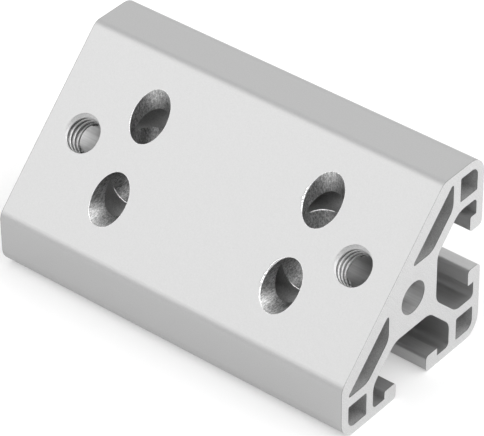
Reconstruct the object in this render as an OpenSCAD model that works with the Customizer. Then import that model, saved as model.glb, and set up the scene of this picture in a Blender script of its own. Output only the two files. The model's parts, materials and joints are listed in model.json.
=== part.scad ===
// Angle bracket: a cut length of slotted aluminium extrusion with a diagonal face.
//
// The section fills a square of the framing's grid, less the corner that the diagonal face cuts off.
// Two legs meet at the square corner, and each has a T-slot on its middle line. Behind the diagonal
// face lie two slim channels, and a small hollow stands in each of the three right-angled corners.
// A core bore runs the whole length. Four access holes pass from the diagonal face into the slots,
// for the key that turns a screw whose head lies in the slot, and two tapped holes stand square to
// the diagonal face.
//
// The bracket stands on leg A, with its length along X. The origin is on leg A's outer face, below
// the middle of the bracket. The section is drawn from its square corner, with u along leg A and v
// along leg B, and it is its own mirror image across the line u = v.

/* [Extrusion] */
// Side of the square that holds the section, one step of the framing's grid
profile_side = 45; // [44:0.5:60]
// Length of the cut piece
bracket_length = 90; // [60:5:360]
// Width of each short face, up to its sharp corner with the diagonal face
short_face_w = 13.3; // [12.5:0.1:15]
// Wall under the slot pockets and round the hollows
outer_wall = 2.1; // [1.6:0.1:2.5]
// Wall behind the diagonal face
diagonal_wall = 3.4; // [2.8:0.1:4]
// Rounding of the three right-angled outer corners
corner_r = 4.5; // [2:0.5:5]
// Rounding where the diagonal face meets a short face
blend_r = 3; // [1:0.5:5]

/* [T-slots] */
// Width of a slot's mouth between its two lips
mouth_w = 10; // [8:0.1:10.5]
// Depth of a slot's floor below the leg's outer face
slot_depth = 14.8; // [13.8:0.1:15.5]
// Width of the pocket inside a slot
pocket_w = 25; // [24:0.1:25.6]
// Thickness of a lip
lip_t = 4; // [3:0.1:5]
// Length of the thick part of a lip, from the mouth
lip_l = 3.7; // [3:0.1:4.5]
// Thickness of the web between the two slots
web_t = 2.8; // [2:0.1:3.6]
// Rounding of a slot's shoulders and of the ends of its floor
shoulder_r = 4; // [2:0.5:5]
// Rounding of the pocket's outer corners
pocket_r = 1.1; // [0.5:0.1:1.5]
// Rounding of a lip's outer edge, at the mouth
lip_outer_r = 1.2; // [0.5:0.1:1.8]
// Rounding of a lip's inner edge, at the mouth
lip_inner_r = 0.8; // [0.4:0.1:1.4]
// Rounding of the back edge of a lip
lip_back_r = 0.4; // [0.2:0.1:0.8]

/* [Hollows and core] */
// Rib between the corner hollow and a slot's pocket
corner_rib = 2.4; // [1.8:0.1:3]
// Rib between a tip hollow and a slot's pocket
tip_rib = 2.1; // [1.5:0.1:3]
// Rib between a tip hollow and a slim channel
channel_rib = 2.3; // [1.5:0.1:3]
// Rounding of a hollow, inside the section's outer corner
hollow_r = 2; // [1:0.1:2.4]
// Rounding of a hollow's other corners
hollow_edge_r = 0.4; // [0.2:0.1:0.8]
// Wall between a slot and a slim channel
slot_wall = 2.7; // [2:0.1:3.2]
// Rounding of a slim channel's two wide corners
channel_r = 3.5; // [2:0.1:4]
// Rounding of a slim channel's two narrow ends
channel_tip_r = 0.5; // [0.3:0.1:0.8]
// Diameter of the core bore
core_d = 7.5; // [6:0.1:8]

/* [Holes] */
// Diameter of the four access holes
access_d = 8.5; // [6:0.1:9]
// Distance from an end of the bracket to the nearer access holes
access_from_end = 22.5; // [20:0.5:25]
// Outer diameter of the thread in the two tapped holes
tapped_d = 9.525; // [6:0.025:10]
// Distance from an end of the bracket to the nearer tapped hole
tapped_from_end = 9.75; // [8:0.25:11]

/* [Hidden] */
$fn = 96;
// How far a cut runs past the face that it opens
past = 1;
middle = profile_side / 2;
// Lines parallel to a leg that the pockets, hollows and channels share, by their distance from a leg
pocket_edge = middle - pocket_w / 2;
core_far_side = profile_side - slot_depth;
// Sums u + v along the slot's sloping side, the channel's two sloping sides and the diagonal face
slot_slope = profile_side - web_t / sqrt(2);
channel_inner_slope = slot_slope + slot_wall * sqrt(2);
diagonal_slope = profile_side + short_face_w;
channel_outer_slope = diagonal_slope - diagonal_wall * sqrt(2);
// Distance from the core bore's axis to the diagonal face
core_to_diagonal = (diagonal_slope - profile_side) / sqrt(2);

function unit(a, b) = (b - a) / norm(b - a);
function next_of(points, i) = points[(i + 1) % len(points)];
function last_of(points, i) = points[(i + len(points) - 1) % len(points)];

// What an arc of radius r takes off corner p, whose edges run towards a and b.
module corner_cut(p, a, b, r) {
    along_a = unit(p, a);
    along_b = unit(p, b);
    half_angle = acos(along_a * along_b) / 2;
    reach = r / tan(half_angle);
    centre = p + (along_a + along_b) / norm(along_a + along_b) * r / sin(half_angle);
    difference() {
        polygon([p, p + along_a * reach, centre, p + along_b * reach]);
        translate(centre) circle(r);
    }
}

// A polygon whose corner i is rounded by radii[i], where every corner points outwards.
module rounded(points, radii) {
    difference() {
        polygon(points);
        for (i = [0 : len(points) - 1])
            corner_cut(points[i], last_of(points, i), next_of(points, i), radii[i]);
    }
}

// The same shape on both legs.
module both_legs() {
    children();
    mirror([1, -1]) children();
}

// The outline of the section, with the square corner at the origin.
module outline() {
    side = profile_side;
    rounded(
        [[0, 0], [side, 0], [side, short_face_w], [short_face_w, side], [0, side]],
        [corner_r, corner_r, blend_r, blend_r, corner_r]
    );
}

// One half of leg A's T-slot, from the slot's middle line at x = 0 to the side of its pocket.
module half_slot() {
    mouth = mouth_w / 2;
    lip_back = mouth + lip_l;
    pocket = pocket_w / 2;
    floor_half = slot_slope - middle - slot_depth;
    shoulder = [pocket, slot_slope - middle - pocket];
    floor_end = [floor_half, slot_depth];
    difference() {
        polygon([
            [0, -past], [mouth, -past], [mouth, lip_t], [lip_back, lip_t], [lip_back, outer_wall],
            [pocket, outer_wall], shoulder, floor_end, [0, slot_depth]
        ]);
        corner_cut([pocket, outer_wall], [lip_back, outer_wall], shoulder, pocket_r);
        corner_cut(shoulder, [pocket, outer_wall], floor_end, shoulder_r);
        corner_cut(floor_end, shoulder, [0, slot_depth], shoulder_r);
    }
    corner_cut([mouth, 0], [mouth, lip_t], [lip_back, 0], lip_outer_r);
    corner_cut([mouth, lip_t], [mouth, 0], [lip_back, lip_t], lip_inner_r);
    corner_cut([lip_back, lip_t], [mouth, lip_t], [lip_back, outer_wall], lip_back_r);
}

module slot() {
    translate([middle, 0]) {
        half_slot();
        mirror([1, 0]) half_slot();
    }
}

// The hollow at the square corner.
module corner_hollow() {
    far = pocket_edge - corner_rib;
    rounded(
        [[outer_wall, outer_wall], [far, outer_wall], [far, far], [outer_wall, far]],
        [hollow_r, hollow_edge_r, hollow_edge_r, hollow_edge_r]
    );
}

// The hollow at the tip of leg A, under its short face.
module tip_hollow() {
    near = profile_side - pocket_edge + tip_rib;
    far = profile_side - outer_wall;
    top = pocket_edge - channel_rib;
    rounded(
        [[near, outer_wall], [far, outer_wall], [far, top], [near, top]],
        [hollow_edge_r, hollow_r, hollow_edge_r, hollow_edge_r]
    );
}

// The slim channel behind the diagonal face, on leg A's side.
module channel() {
    left = core_far_side;
    bottom = pocket_edge;
    rounded(
        [
            [channel_inner_slope - bottom, bottom], [channel_outer_slope - bottom, bottom],
            [left, channel_outer_slope - left], [left, channel_inner_slope - left]
        ],
        [channel_r, channel_tip_r, channel_tip_r, channel_r]
    );
}

module section() {
    difference() {
        outline();
        both_legs() {
            slot();
            tip_hollow();
            channel();
        }
        corner_hollow();
        translate([middle, middle]) circle(d = core_d);
    }
}

// One access hole on leg A's middle line, from the diagonal face down into leg A's slot.
module access_hole() {
    start = slot_depth - past;
    translate([0, 0, start]) cylinder(h = diagonal_slope - start, d = access_d);
}

// One tapped hole, drawn at its thread's outer diameter, from the diagonal face to the core bore's axis.
module tapped_hole() {
    cylinder(h = core_to_diagonal + past, d = tapped_d);
}

module bracket() {
    color("#cdced0")
    difference() {
        rotate([90, 0, 90])
            linear_extrude(height = bracket_length, center = true)
                translate([middle, 0]) mirror([1, 0]) section();
        for (end = [-1, 1]) {
            translate([end * (bracket_length / 2 - access_from_end), 0, 0]) {
                access_hole();
                translate([0, 0, middle]) rotate([90, 0, 0]) translate([0, 0, -middle]) access_hole();
            }
            translate([end * (bracket_length / 2 - tapped_from_end), 0, middle])
                rotate([45, 0, 0]) tapped_hole();
        }
    }
}

bracket();
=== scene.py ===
# %% [markdown]
# Angle bracket of slotted aluminium extrusion
#
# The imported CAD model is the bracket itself: one cut length of extrusion, drilled and tapped. Its shape is
# right, so it stays as it is. What Blender adds is what a maker's hands and machines left on it: the matt
# anodised skin, the sawn ends, the drilled walls, the thread turns in the two tapped holes and the burrs
# round the holes. Lengths are written in millimetres and multiplied by MM, since Blender counts in metres.

# %% Load the bracket
import json
import math

import bpy
import numpy as np
from mathutils import Matrix, Vector


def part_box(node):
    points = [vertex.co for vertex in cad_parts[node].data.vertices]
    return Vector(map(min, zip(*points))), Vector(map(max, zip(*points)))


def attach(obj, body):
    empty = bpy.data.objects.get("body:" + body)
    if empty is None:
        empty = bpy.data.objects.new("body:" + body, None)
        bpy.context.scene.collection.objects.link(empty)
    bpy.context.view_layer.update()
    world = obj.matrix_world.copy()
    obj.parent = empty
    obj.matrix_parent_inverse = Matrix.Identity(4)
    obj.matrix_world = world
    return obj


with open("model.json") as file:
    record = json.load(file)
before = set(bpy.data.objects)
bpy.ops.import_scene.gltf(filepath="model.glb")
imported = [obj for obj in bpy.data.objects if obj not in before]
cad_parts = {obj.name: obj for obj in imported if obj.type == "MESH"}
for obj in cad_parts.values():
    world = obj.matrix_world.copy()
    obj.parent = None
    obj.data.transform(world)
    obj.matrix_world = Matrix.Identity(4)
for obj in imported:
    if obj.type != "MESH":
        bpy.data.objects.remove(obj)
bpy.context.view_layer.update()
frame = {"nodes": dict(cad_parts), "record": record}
MM = 0.001
bracket = frame["nodes"]["bracket"]
low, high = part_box("bracket")
print("bracket", [round(size / MM, 1) for size in high - low], "mm")

# %% [markdown]
# Everything that is added sits on a feature of the bracket, so the places come from the record that was
# packed with it. Each mount there gives a point, an axis and a radius. Reading them is safer than writing
# the numbers again, because the looks then follow the part when its sizes change.

# %% Places on the bracket
mounts = {mount["name"]: mount for mount in frame["record"]["mounts"]}
core_axis = Vector(mounts["core_bore"]["pos_m"])
core_r = mounts["core_bore"]["dims"]["r_mm"] * MM
face_point = Vector(mounts["diagonal_face"]["pos_m"])
face_out = Vector(mounts["diagonal_face"]["axis"]).normalized()
face_across = Vector((0, face_out.z, -face_out.y))
core_to_face = (face_point - core_axis).dot(face_out)
tapped_x = mounts["tapped_hole_right"]["pos_m"][0]
tapped_r = mounts["tapped_hole_right"]["dims"]["r_mm"] * MM
access_x = mounts["access_holes_a"]["dims"]["spacing_x_mm"] * MM / 2
access_r = mounts["access_holes_a"]["dims"]["hole_r_mm"] * MM
print("core to diagonal face", round(core_to_face / MM, 2), "mm")

# %% [markdown]
# The camera stands where the photographer stood. A long lens from about 70 cm gives the weak perspective
# of a catalogue picture. The camera is described as a photographer would: how far round, how high, how far
# away, and what it looks at. The three axes of the view then make its rotation.

# %% Camera
view_azimuth = math.radians(39.75)
view_elevation = math.radians(37.44)
view_roll = math.radians(-0.62)
view_distance = 681.6 * MM
view_target = Vector((1.51, 0.05, 21.29)) * MM
focal_length = 249.8
sensor_width = 36

camera_data = bpy.data.cameras.new("camera")
camera_data.lens = focal_length
camera_data.sensor_width = sensor_width
camera = bpy.data.objects.new("camera", camera_data)
bpy.context.scene.collection.objects.link(camera)
aim = (
    Matrix.Rotation(view_azimuth, 4, "Z")
    @ Matrix.Rotation(math.pi / 2 - view_elevation, 4, "X")
    @ Matrix.Rotation(view_roll, 4, "Z")
)
camera.matrix_world = Matrix.Translation(view_target) @ aim @ Matrix.Translation((0, 0, view_distance))
bpy.context.scene.camera = camera
print("camera at", [round(place / MM) for place in camera.matrix_world.translation], "mm")

# %% [markdown]
# Small shapes are worked out as whole arrays. A closed ring of points carried round a second closed loop
# gives a grid whose last row and last column join the first ones, as on a ring doughnut. Such a grid has
# no open edge, so one helper makes the mesh of every thread sleeve. A burr is a closed ring of points
# carried along an open line, so its two ends get a face each.

# %% Mesh from a grid of points
SHARP_ANGLE = math.radians(50)


def grid_mesh(name, points, ends_meet):
    """Makes an object from an array of points[row, column]. Columns always join up. Rows join up where
    ends_meet is true, and otherwise a face closes the first and the last row. Each face has the corners
    (row, column), (row, column + 1), (row + 1, column + 1) and (row + 1, column)."""
    rows, columns, _ = points.shape
    number = np.arange(rows * columns).reshape(rows, columns)
    below = np.roll(number, -1, axis=0) if ends_meet else number[1:]
    above = number if ends_meet else number[:-1]
    faces = np.stack([above, np.roll(above, -1, axis=1), np.roll(below, -1, axis=1), below], axis=-1)
    quads = faces.reshape(-1, 4).tolist()
    ends = [] if ends_meet else [number[0, ::-1].tolist(), number[-1].tolist()]
    mesh = bpy.data.meshes.new(name)
    mesh.from_pydata(points.reshape(-1, 3).tolist(), [], quads + ends)
    mesh.shade_smooth()
    mesh.set_sharp_from_angle(angle=SHARP_ANGLE)
    mesh.validate()
    piece = bpy.data.objects.new(name, mesh)
    bpy.context.scene.collection.objects.link(piece)
    return piece


# %% [markdown]
# Thread of the tapped holes
#
# A tap cuts a helix into the wall of a drilled hole, here 16 turns to the inch. The CAD wall is drawn at
# the thread's outer diameter, and a sleeve inside it carries the turns. A bump map could draw them too, but
# the turns show their edge against the light, so they are real geometry. First comes the radius of the
# sleeve's inner surface at each angle and height. The first groove runs out of the diagonal face, so the
# mouth of the hole is a little off its axis, as in the photograph.

# %% Profile of the thread
INCH = 25.4 * MM
FLANK_SLOPE = math.sqrt(3)
# Depth of the thread in pitches: five eighths of the height of a triangle whose corners are 60 degrees
THREAD_DEPTH = 0.5413
# The grooves stay clear of the CAD wall, so that it doesn't show through them
GROOVE_GAP = 0.03 * MM
# The sleeve's top stays just below the diagonal face, so that neither shows through the other
TOP_GAP = 0.005 * MM
# Keeps the division by the sine of the angle from dividing by zero
SMALLEST_SINE = 1e-6

pitch = INCH / 16
crest_r = tapped_r - THREAD_DEPTH * pitch
root_r = tapped_r - GROOVE_GAP
sleeve_top = core_to_face - TOP_GAP
# The angle at which the first groove leaves the face, chosen so that the turns lie as in the photograph
run_out = math.radians(129)


def thread_radius(angle, height):
    """Radius of the sleeve's inner surface. The thread's profile is a trapezoid with 60 degree flanks:
    its root is a flat an eighth of the pitch wide, and from there the radius falls at the flank's slope
    until it reaches the crest. The middle of the root climbs one pitch for each turn of the angle, and
    runs out of the diagonal face at the angle run_out. The core bore cuts the last crest back to its own
    wall, whose radius from the hole's axis is sqrt(core_r^2 - height^2) / sin angle."""
    turns = (height - sleeve_top) / pitch - (angle - run_out) / (2 * math.pi)
    from_root = np.abs(turns - np.round(turns)) * pitch
    profile = np.clip(root_r - FLANK_SLOPE * (from_root - pitch / 16), crest_r, root_r)
    sine = np.maximum(np.abs(np.sin(angle)), SMALLEST_SINE)
    bore = np.sqrt(np.clip(core_r**2 - height**2, 0, None)) / sine
    return np.minimum(np.maximum(profile, bore), root_r)


print("pitch", round(pitch / MM, 3), "mm, hole inside the turns", round(2 * crest_r / MM, 2), "mm across")

# %% [markdown]
# The turns could be cut into the bracket's own mesh, but that mesh stays as the CAD made it. So each hole
# gets a sleeve, as one closed skin. Its inner surface carries the turns from the diagonal face down to the
# core bore, and its outer surface comes back up, a hair's breadth inside the metal of the CAD wall. So no
# gap shows between the two, and no edge of the sleeve is open.

# %% Thread sleeves
SLEEVE_IN_METAL = 0.01 * MM


def thread_sleeve(name, x, columns=128, rows=240, outer_rows=6):
    """A closed sleeve round the hole's axis at x. Angle runs along the columns. Down the rows, height
    runs from the diagonal face to the core bore, whose wall lies at the height
    sqrt(core_r^2 - (r sin angle)^2), and then back up the outside. A point is the core bore's axis, plus
    x + r cos angle along X, r sin angle across the face and the height out of it."""
    angle = np.linspace(0, 2 * math.pi, columns, endpoint=False)[None, :]
    bottom = np.sqrt(np.clip(core_r**2 - (root_r * np.sin(angle)) ** 2, 0, None))
    share = np.linspace(0, 1, rows)[:, None]
    inner_height = sleeve_top + (bottom - sleeve_top) * share
    inner_radius = thread_radius(angle, inner_height)
    outer_share = np.linspace(1, 0, outer_rows)[:, None]
    outer_height = sleeve_top + (bottom - sleeve_top) * outer_share
    outer_radius = np.full(outer_height.shape, tapped_r + SLEEVE_IN_METAL)
    height = np.concatenate([inner_height, outer_height])
    radius = np.concatenate([inner_radius, outer_radius])
    along_x = x + radius * np.cos(angle)
    across = radius * np.sin(angle)
    points = (
        np.array(core_axis)
        + along_x[..., None] * np.array((1, 0, 0))
        + across[..., None] * np.array(face_across)
        + height[..., None] * np.array(face_out)
    )
    return grid_mesh(name, points, ends_meet=True)


threads = [thread_sleeve("thread_right", tapped_x), thread_sleeve("thread_left", -tapped_x)]
for thread in threads:
    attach(thread, "root")
    print(thread.name, len(thread.data.polygons), "faces")

# %% [markdown]
# Burrs of the access holes
#
# A drill pushes a little metal over the edge where it breaks out. On this bracket that shows as bright
# slivers on the mouths of the access holes, and as thin bright threads inside them, on the edge where the
# drill ran out of the slim channel. A burr follows its rim, so the rims come first. A round hole that
# leaves a slanted face has an ellipse for its mouth, and its wall is a circle where it ends in the channel.

# %% Rims of the access holes
# From the core bore's axis to the edge that the slim channel leaves in a hole's wall, along the hole
channel_end = 7.7 * MM


def rim_points(x, leg, angle, distance=None):
    """Points of an access hole's wall at the given angles round its axis, which runs along Z for leg A's
    holes and along Y for leg B's. Each is the radius times the angle's cosine along X, the radius times
    its sine to the side, and a reach along the hole. The reach is the distance where one is given. Else
    the point lies on the diagonal face, which slants by 45 degrees, so the reach to it changes by as much
    as the point goes to the side."""
    out_of_hole = Vector((0, 0, 1)) if leg == "a" else Vector((0, -1, 0))
    side = Vector((0, 1, 0)) if leg == "a" else Vector((0, 0, 1))
    outward = np.cos(angle)[:, None] * np.array((1, 0, 0)) + np.sin(angle)[:, None] * np.array(side)
    slope = 1 if leg == "a" else -1
    to_face = core_to_face / face_out.z + slope * access_r * np.sin(angle)
    reach = to_face if distance is None else np.full(angle.shape, distance)
    centre = np.array(core_axis) + x * np.array((1, 0, 0))
    return centre + access_r * outward + reach[:, None] * np.array(out_of_hole)


mouth_ends = rim_points(access_x, "a", np.radians([90, 270]))
print("mouth of an access hole", round(np.linalg.norm(np.diff(mouth_ends, axis=0)) / MM, 1), "mm long")

# %% [markdown]
# Each burr is a flat bead carried along part of a rim. It swells and shrinks at random along the rim and
# tapers to nothing at both ends, as torn metal does. Sculpting it by hand would look as good, but this way
# a few numbers say where a burr lies and how wide it is, and a fixed seed gives the same one each run.

# %% Burrs
rng = np.random.default_rng(45)
# The way that the flat of a burr inside a hole faces: out of the mouth and towards the bracket's right end
FOLDED = Vector((0.45, -0.5, 0.74)).normalized()
# How many times a burr swells along its length, one number for each sine wave, and how much they add
WAVES = (3, 7, 13, 23)
SWELL = 0.35
NARROWEST = 0.3
WIDEST = 1.6
# Shape of the taper at the two ends, and what is left of the bead there
TAPER = 0.6
TIP = 0.01
# How far a bead at a mouth lies outside the rim, as a share of half its width
OUTSIDE_RIM = 0.7


def burr(name, x, leg, start, end, width, height, distance=None, rows=96, columns=8):
    """A bead along a rim, from the start angle to the end angle in degrees. Its section is an ellipse,
    half sunk in the metal: half the width times a turn's cosine away from the rim, and the height times
    its sine upwards. On the diagonal face it lies flat on the face. Inside the hole it is a lip on the
    edge, folded towards the hole's mouth. Its size follows the sine of half a turn from end to end, to
    the power TAPER, times one plus SWELL times a sum of sine waves that start at random."""
    share = np.linspace(0, 1, rows)
    angle = np.radians(start + (end - start) * share)
    point = rim_points(x, leg, angle, distance)
    facing = np.array(face_out if distance is None else FOLDED)
    outward = np.cross(np.gradient(point, axis=0), facing)
    outward /= np.linalg.norm(outward, axis=1, keepdims=True)
    waves = sum(np.sin(2 * math.pi * (count * share + rng.random())) / math.sqrt(count) for count in WAVES)
    taper = np.clip(np.sin(math.pi * share), TIP, 1) ** TAPER
    size = taper * (1 + SWELL * waves).clip(NARROWEST, WIDEST)
    turn = np.linspace(0, 2 * math.pi, columns, endpoint=False)
    shift = OUTSIDE_RIM if distance is None else 0
    across = (width / 2 * size)[:, None] * (np.cos(turn) + shift)[None, :]
    upward = (height * size)[:, None] * np.sin(turn)[None, :]
    points = point[:, None, :] + across[..., None] * outward[:, None, :] + upward[..., None] * facing
    piece = grid_mesh(name, points, ends_meet=False)
    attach(piece, "root")
    print(name, len(piece.data.polygons), "faces")
    return piece


burrs = [
    burr("burr_mouth_a_right", access_x, "a", 158, 222, 0.6 * MM, 0.24 * MM),
    burr("burr_mouth_b_right", access_x, "b", 112, 235, 0.6 * MM, 0.24 * MM),
    burr("burr_mouth_a_left", -access_x, "a", 168, 232, 0.3 * MM, 0.14 * MM),
    burr("burr_mouth_b_left", -access_x, "b", 196, 262, 0.3 * MM, 0.14 * MM),
    burr("burr_channel_a_right", access_x, "a", 92, 170, 0.3 * MM, 0.05 * MM, channel_end),
    burr("burr_channel_b_right", access_x, "b", 236, 280, 0.3 * MM, 0.05 * MM, channel_end),
    burr("burr_channel_b_left", -access_x, "b", 205, 270, 0.3 * MM, 0.05 * MM, channel_end),
]

# %% [markdown]
# Colours and nodes
#
# Colours are written as the sRGB hex values that a paint program shows, and one function turns them to
# the linear numbers that a shader needs. A second small function adds a shader node together with its
# settings and its links, so that each material reads from top to bottom.

# %% Colour and node helpers
def linear(hex_colour):
    """Turns an sRGB colour such as '#c6c6c8' to linear red, green, blue and an alpha of 1. Each channel
    above the toe of the curve is ((c + 0.055) / 1.055) to the power 2.4, and below it c / 12.92."""
    channels = [int(hex_colour[i : i + 2], 16) / 255 for i in (1, 3, 5)]
    return [c / 12.92 if c <= 0.04045 else ((c + 0.055) / 1.055) ** 2.4 for c in channels] + [1]


def add(tree, kind, values=(), **settings):
    """Adds a node of the kind ShaderNode + kind. The settings are its properties. The values go to its
    inputs: a list fills the inputs that are in use, in their order, and a dictionary fills them by name.
    A value is a number, a vector, a colour, or the node or output to link from."""
    node = tree.nodes.new("ShaderNode" + kind)
    for name, setting in settings.items():
        setattr(node, name, setting)
    in_use = [socket for socket in node.inputs if socket.enabled]
    named = values.items() if isinstance(values, dict) else enumerate(values)
    for key, value in named:
        socket = node.inputs[key] if isinstance(key, str) else in_use[key]
        if isinstance(value, bpy.types.Node):
            value = next(output for output in value.outputs if output.enabled)
        if isinstance(value, bpy.types.NodeSocket):
            tree.links.new(value, socket)
        else:
            socket.default_value = value
    return node


def new_material(name):
    """An empty material, and the node tree to fill."""
    material = bpy.data.materials.new(name)
    material.use_nodes = True
    material.node_tree.nodes.clear()
    return material, material.node_tree


print("the skin's light tone is", round(linear("#cacaca")[0], 3), "of white")

# %% [markdown]
# Where each finish lies on the bracket
#
# The extrusion is etched in caustic soda and anodised before it is cut. The sawing, drilling and tapping
# come after, so the ends and the hole walls are bare metal. The whole bracket is one mesh, so its
# material has to tell these places apart. Painting masks by hand would need an unwrapped mesh. Here each
# mask comes from distances, measured in Object coordinates: to the sides of the bracket's box, and from
# the core bore's axis, along the diagonal face and out of it.

# %% Distances on the bracket
finish, tree = new_material("anodised_aluminium")
where = add(tree, "TexCoord").outputs["Object"]
from_low = add(tree, "VectorMath", [where, low], operation="SUBTRACT")
to_high = add(tree, "VectorMath", [high, where], operation="SUBTRACT")
to_side = add(tree, "SeparateXYZ", [add(tree, "VectorMath", [from_low, to_high], operation="MINIMUM")])
from_core = add(tree, "VectorMath", [where, core_axis], operation="SUBTRACT")
out_of_core = add(tree, "VectorMath", [from_core, face_out], operation="DOT_PRODUCT")
across_core = add(tree, "VectorMath", [from_core, face_across], operation="DOT_PRODUCT")
offset = add(tree, "SeparateXYZ", [from_core])
mirrored_x = add(tree, "Math", [offset.outputs["X"]], operation="ABSOLUTE")
print("distances made with", len(tree.nodes), "nodes")

# %% [markdown]
# A point belongs to a hole's wall when it lies no further out than WALL past the hole's radius. In the
# tapped holes, what lies within CREST of the crests gets a painted highlight, and what lies within MOUTH of
# the diagonal face gets a lighter tone, a painted reflection of the bright paper.

# %% Masks of the holes
WALL = 0.06 * MM
CREST = 0.2 * MM
MOUTH = 0.9 * MM


def hole_mask(station, sideways, radius):
    """1 on the wall of the two holes at the stations +x and -x, and 0 elsewhere. The distance from a
    hole's axis is the length of the offset along X and the offset sideways."""
    along_x = add(tree, "Math", [mirrored_x, station], operation="SUBTRACT")
    from_axis = add(tree, "CombineXYZ", [along_x, sideways, 0])
    distance = add(tree, "VectorMath", [from_axis], operation="LENGTH")
    return add(tree, "Math", [distance, radius + WALL], operation="LESS_THAN")


drilled_a = hole_mask(access_x, offset.outputs["Y"], access_r)
drilled_b = hole_mask(access_x, offset.outputs["Z"], access_r)
drilled = add(tree, "Math", [drilled_a, drilled_b], operation="MAXIMUM")
above_core = add(tree, "Math", [out_of_core, -WALL], operation="GREATER_THAN")
below_face = add(tree, "Math", [out_of_core, core_to_face - WALL / 2], operation="LESS_THAN")
tapped = add(tree, "Math", [above_core, below_face], operation="MULTIPLY")
tapped = add(tree, "Math", [tapped, hole_mask(tapped_x, across_core, tapped_r)], operation="MULTIPLY")
# Painted highlight: a lighter band by the crests of the turns
on_crest = hole_mask(tapped_x, across_core, crest_r + CREST)
crest_highlight = add(tree, "Math", [tapped, on_crest], operation="MULTIPLY")
# Painted reflection of the bright paper: a lighter band by the diagonal face
by_face = add(tree, "Math", [out_of_core, core_to_face - MOUTH], operation="GREATER_THAN")
mouth_reflection = add(tree, "Math", [tapped, by_face], operation="MULTIPLY")
print("tapped walls reach", round(core_to_face / MM, 2), "mm out of the core bore's axis")

# %% [markdown]
# The saw leaves the two ends bare. A strip RIM wide along the edge of each cut is painted darker, as painted
# shade that marks the edge with a thin dark line. Inside the section, a wall that lies deeper than SKIN
# below every outer face is in an opening, and its shape tells which one: slot, hollow or core bore.

# %% Masks of the ends and the openings
RIM = 0.16 * MM
SKIN = 2.0 * MM
SLOT_HALF = 13.5 * MM
SLOT_SUM = 22 * MM


def slot_mask(below_leg, sideways):
    """1 in a T-slot. There the depth below the leg's outer face and the distance from the slot's middle
    line add up to less than SLOT_SUM, and the distance stays under SLOT_HALF."""
    distance = add(tree, "Math", [sideways], operation="ABSOLUTE")
    total = add(tree, "Math", [below_leg, distance], operation="ADD")
    near_middle = add(tree, "Math", [distance, SLOT_HALF], operation="LESS_THAN")
    above_web = add(tree, "Math", [total, SLOT_SUM], operation="LESS_THAN")
    return add(tree, "Math", [near_middle, above_web], operation="MULTIPLY")


sawn = add(tree, "Math", [to_side.outputs["X"], WALL / 2], operation="LESS_THAN")
# Painted shade: a strip RIM wide along each end, darker than the skin
edge_shade = add(tree, "Math", [to_side.outputs["X"], RIM], operation="LESS_THAN")
to_leg = add(tree, "Math", [to_side.outputs["Y"], to_side.outputs["Z"]], operation="MINIMUM")
to_diagonal = add(tree, "Math", [core_to_face, out_of_core], operation="SUBTRACT")
depth = add(tree, "Math", [to_leg, to_diagonal], operation="MINIMUM")
inside = add(tree, "Math", [depth, SKIN], operation="GREATER_THAN")
above_a = add(tree, "SeparateXYZ", [from_low]).outputs["Z"]
below_b = add(tree, "SeparateXYZ", [to_high]).outputs["Y"]
slot_a = slot_mask(above_a, offset.outputs["Y"])
slot_b = slot_mask(below_b, offset.outputs["Z"])
either_slot = add(tree, "Math", [slot_a, slot_b], operation="MAXIMUM")
slots = add(tree, "Math", [inside, either_slot], operation="MULTIPLY")
hollow = add(tree, "Math", [inside, slots], operation="SUBTRACT")
round_core = add(tree, "CombineXYZ", [offset.outputs["Y"], offset.outputs["Z"], 0])
core_distance = add(tree, "VectorMath", [round_core], operation="LENGTH")
core = add(tree, "Math", [core_distance, core_r + WALL], operation="LESS_THAN")
print("masks made with", len(tree.nodes), "nodes")

# %% [markdown]
# Patterns of the finishes
#
# Each finish has its own marks, and each pattern's scale is a real length. Etching leaves a fine grain,
# about 0.05 mm on the real metal, drawn coarser here so that it shows. The die draws faint lines along the
# extrusion, so that pattern is stretched along X. Chips are small pits of torn metal. They lie on the
# sawn ends, and the closed hollows, which no hand or brush reaches, are mottled in the same way.

# %% Grain, die lines and chips
GRAIN = 0.3 * MM
DIE_LINE = 0.45 * MM
CHIP = 0.25 * MM
# How many times slower the die's lines change along the bracket than across it
DIE_STRETCH = 50

grain = add(tree, "TexNoise", {"Vector": where, "Scale": 1 / GRAIN, "Detail": 4, "Roughness": 0.65})
die_scale = (1 / DIE_STRETCH / DIE_LINE, 1 / DIE_LINE, 1 / DIE_LINE)
die_place = add(tree, "Mapping", {"Vector": where, "Scale": die_scale})
die_lines = add(tree, "TexNoise", {"Vector": die_place, "Scale": 1, "Detail": 3})
chips = add(tree, "TexNoise", {"Vector": where, "Scale": 1 / CHIP, "Detail": 3, "Roughness": 0.8})
print("patterns of the skin made,", len(tree.nodes), "nodes so far")

# %% [markdown]
# A circular saw leaves arcs of a large radius across the end, each a ring round the saw's axle. So the
# pattern is a noise whose first coordinate is the distance from the axle. Along the arcs it changes ten
# times slower. The chips are laid over the arcs and nearly hide them, as on the real ends.

# %% Saw marks
SAW_LINE = 0.4 * MM
SAW_RADIUS = 200 * MM
# Where the saw's axle lies as seen from the core bore, as a direction of length 1
TO_AXLE = Vector((0, -0.8, -0.6))
ALONG_ARC = 0.1
CHIPS_SHARE = 0.85

saw_axle = core_axis + TO_AXLE * SAW_RADIUS
on_end = add(tree, "VectorMath", [where, (0, 1, 1)], operation="MULTIPLY")
from_axle = add(tree, "VectorMath", [on_end, saw_axle], operation="DISTANCE")
saw_place = add(tree, "CombineXYZ", [from_axle, offset.outputs["Y"], mirrored_x])
saw_place = add(tree, "Mapping", {"Vector": saw_place, "Scale": (1 / SAW_LINE, ALONG_ARC / SAW_LINE, 1)})
saw_lines = add(tree, "TexNoise", {"Vector": saw_place, "Scale": 1, "Detail": 3, "Roughness": 0.6})
saw_marks = add(tree, "Mix", [CHIPS_SHARE, saw_lines, chips])
print("saw's axle at", [round(place / MM) for place in saw_axle], "mm")

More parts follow.
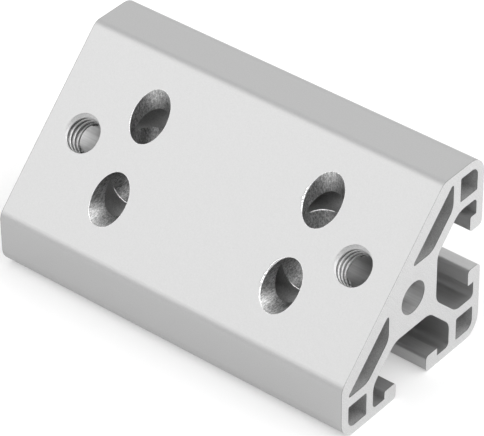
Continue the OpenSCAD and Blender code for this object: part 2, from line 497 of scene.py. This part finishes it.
# %% [markdown]
# A drill leaves rings round its axis and smears the wall between them. The rings are a noise that changes
# only along the hole. The smears are a second noise, a little longer along the hole than round it, and
# they are the stronger part. Both need to know which way the hole runs, which drilled_a tells.

# %% Drill marks
DRILL_RING = 0.3 * MM
SMEAR = 0.3 * MM
ALONG_HOLE = 0.4
SMEARS_SHARE = 0.85
# Below the first value of the noise the wall is all dark, and above the second it is all bright
SMEAR_DARK = 0.3
SMEAR_BRIGHT = 0.7

axial = add(tree, "Mix", [drilled_a, offset.outputs["Y"], offset.outputs["Z"]])
sideways = add(tree, "Mix", [drilled_a, offset.outputs["Z"], offset.outputs["Y"]])
ring_place = add(tree, "Math", [axial, DRILL_RING], operation="DIVIDE")
rings = add(tree, "TexNoise", {"W": ring_place, "Scale": 1, "Detail": 3}, noise_dimensions="1D")
smear_place = add(tree, "CombineXYZ", [offset.outputs["X"], sideways, axial])
smear_scale = (1 / SMEAR, 1 / SMEAR, ALONG_HOLE / SMEAR)
smear_place = add(tree, "Mapping", {"Vector": smear_place, "Scale": smear_scale})
smears = add(tree, "TexNoise", {"Vector": smear_place, "Scale": 1, "Detail": 5, "Roughness": 0.85})
smears = add(tree, "MapRange", {"Value": smears, "From Min": SMEAR_DARK, "From Max": SMEAR_BRIGHT})
drill_marks = add(tree, "Mix", [SMEARS_SHARE, rings, smears])
print("patterns made,", len(tree.nodes), "nodes so far")

# %% [markdown]
# Anodised aluminium, etched matt
#
# Metal has no colour of its own under its reflection, so Metallic is 1 and the base colour is how much
# light comes back. The etched skin spreads a reflection widely, which is what makes it look matt and even.
# The sawn ends are brighter, and the drilled walls are smoother. The grooves of the threads are painted
# dark, as painted shade deep in the turns, while their crests carry a painted highlight and the mouths of
# their holes a lighter tone, a painted reflection of the bright paper. The finishes are laid one over the
# other by their masks, each with its own two tones, roughness and relief.

# %% Finish of the bracket
# Where the noise of a pattern mostly lies, spread to the whole way from the dark tone to the light one
NOISE_LOW = 0.25
NOISE_HIGH = 0.75
# Height of the deepest marks
RELIEF = 0.02 * MM

# Mask, pattern, dark tone, light tone, roughness, relief as a share of RELIEF
finishes = [
    (None, grain, "#c2c2c2", "#cacaca", 0.5, 0.15),
    (slots, die_lines, "#c2c2c2", "#cccccc", 0.5, 0.2),
    (hollow, chips, "#aeaeae", "#e2e2e2", 0.65, 0.8),
    (core, die_lines, "#c8c8c8", "#e0e0e0", 0.6, 0.3),
    # Painted shade: a thin darker strip along the edges of the sawn ends
    (edge_shade, chips, "#808080", "#c0c0c0", 0.5, 0.3),
    (sawn, saw_marks, "#c6c6c6", "#eeeeee", 0.62, 0.7),
    (drilled, drill_marks, "#909090", "#ffffff", 0.36, 1.0),
    # Painted shade: the grooves of the threads are painted dark
    (tapped, drill_marks, "#606060", "#989898", 0.2, 0.5),
    # Painted highlight on the crests of the turns
    (crest_highlight, drill_marks, "#b8b8b8", "#e8e8e8", 0.4, 0.5),
    # Painted reflection of the bright paper: a lighter tone by the mouths of the tapped holes
    (mouth_reflection, drill_marks, "#c4c4c4", "#dcdcdc", 0.5, 0.5),
]
for mask, pattern, dark, light, roughness, relief in finishes:
    strong = add(tree, "MapRange", {"Value": pattern, "From Min": NOISE_LOW, "From Max": NOISE_HIGH})
    tone = add(tree, "Mix", [strong, linear(dark), linear(light)], data_type="RGBA")
    raised = add(tree, "Math", [strong, relief], operation="MULTIPLY")
    if mask is None:
        all_tones, all_roughness, all_relief = tone, roughness, raised
    else:
        all_tones = add(tree, "Mix", [mask, all_tones, tone], data_type="RGBA")
        all_roughness = add(tree, "Mix", [mask, all_roughness, roughness])
        all_relief = add(tree, "Mix", [mask, all_relief, raised])

bump = add(tree, "Bump", {"Strength": 0.5, "Distance": RELIEF, "Height": all_relief})
metal = add(
    tree,
    "BsdfPrincipled",
    {"Base Color": all_tones, "Metallic": 1, "Roughness": all_roughness, "Normal": bump},
)
add(tree, "OutputMaterial", {"Surface": metal})
bracket.data.materials.clear()
for piece in [bracket] + threads:
    piece.data.materials.append(finish)
print("finish made with", len(tree.nodes), "nodes")

# %% [markdown]
# Torn aluminium
#
# The burrs are metal that the drill has pushed and torn, brighter and smoother than the etched skin. A
# little mottling in the tone keeps them from looking like one wire.

# %% Finish of the burrs
torn, tree = new_material("torn_aluminium")
where = add(tree, "TexCoord").outputs["Object"]
mottle = add(tree, "TexNoise", {"Vector": where, "Scale": 1 / SMEAR, "Detail": 4, "Roughness": 0.7})
tone = add(tree, "Mix", [mottle, linear("#d0d0d0"), linear("#ffffff")], data_type="RGBA")
metal = add(tree, "BsdfPrincipled", {"Base Color": tone, "Metallic": 1, "Roughness": 0.2})
add(tree, "OutputMaterial", {"Surface": metal})
for piece in burrs:
    piece.data.materials.append(torn)
print(len(burrs), "burrs finished")

# %% [markdown]
# Floor
#
# The bracket stands on white paper that is far larger than the picture. A catalogue picture has a pure white
# ground. Stronger lamps would give it, but they would wash out the metal, so the paper glows a little for
# the rays that look at it, straight or by reflection in the metal. It still takes the bracket's shadow.

# %% Floor
PAPER_HALF = 1.5
GLOW_SEEN = 0.35
GLOW_REFLECTED = 0.17

corners = [(PAPER_HALF * i, PAPER_HALF * j, 0) for i, j in [(-1, -1), (1, -1), (1, 1), (-1, 1)]]
floor_mesh = bpy.data.meshes.new("floor")
floor_mesh.from_pydata(corners, [], [(0, 1, 2, 3)])
floor = bpy.data.objects.new("floor", floor_mesh)
bpy.context.scene.collection.objects.link(floor)

paper, tree = new_material("white_paper")
ray = add(tree, "LightPath")
to_camera = add(tree, "Math", [ray.outputs["Is Camera Ray"], GLOW_SEEN], operation="MULTIPLY")
to_metal = add(tree, "Math", [ray.outputs["Is Glossy Ray"], GLOW_REFLECTED], operation="MULTIPLY")
glow_strength = add(tree, "Math", [to_camera, to_metal], operation="ADD")
glow = add(tree, "Emission", {"Color": (1, 1, 1, 1), "Strength": glow_strength})
matt = add(tree, "BsdfDiffuse", {"Color": linear("#d0d0d0")})
both = add(tree, "AddShader", [matt, glow])
add(tree, "OutputMaterial", {"Surface": both})
floor.data.materials.append(paper)
print("paper", 2 * PAPER_HALF, "m wide")

# %% [markdown]
# Light
#
# A light tent gives an even glow from all sides, and the world plays its part. The camera sees it as pure
# white, which keeps the horizon clean in low views. For the bracket it is dimmer, so that the lamps shape
# the metal.

# %% Light tent
TENT_GLOW = 0.4

world = bpy.data.worlds.new("light_tent")
bpy.context.scene.world = world
world.use_nodes = True
world.node_tree.nodes.clear()
ray = add(world.node_tree, "LightPath")
seen = [ray.outputs["Is Camera Ray"], 1 - TENT_GLOW, TENT_GLOW]
strength = add(world.node_tree, "Math", seen, operation="MULTIPLY_ADD")
tent = add(world.node_tree, "Background", {"Color": (1, 1, 1, 1), "Strength": strength})
add(world.node_tree, "OutputWorld", {"Surface": tent})
bpy.context.scene.view_settings.view_transform = "Standard"
print("tent glows at", TENT_GLOW)

# %% [markdown]
# One large softbox stands where the camera sees its reflection in the diagonal face, so that face is the
# lightest. Two on the right light the sawn end and the inside of the slots. A weak one stands behind,
# where its reflection lies in the top face, which is why that face is darker.

# %% Lamps
LAMP_DISTANCE = 0.9


def softbox(name, direction, size, radiance):
    """A square lamp that looks at the bracket from a direction. Its power is its radiance times pi times
    its area."""
    data = bpy.data.lights.new(name, "AREA")
    data.size = size
    data.energy = radiance * math.pi * size**2
    lamp = bpy.data.objects.new(name, data)
    towards = Vector(direction).normalized()
    turn = towards.to_track_quat("Z", "Y").to_matrix().to_4x4()
    lamp.matrix_world = Matrix.Translation(towards * LAMP_DISTANCE) @ turn
    lamp.visible_camera = False
    bpy.context.scene.collection.objects.link(lamp)
    print(name, "gives", round(data.energy, 2), "W")


softbox("key", (-0.49, -0.55, 0.68), 1.0, 1.34)
softbox("right", (0.6, 0, 0.8), 1.3, 1.3)
softbox("right_rear", (0.6, 0.6, 0.5), 1.0, 1.2)
softbox("rear", (-0.5, 0.68, 0.54), 0.8, 0.58)
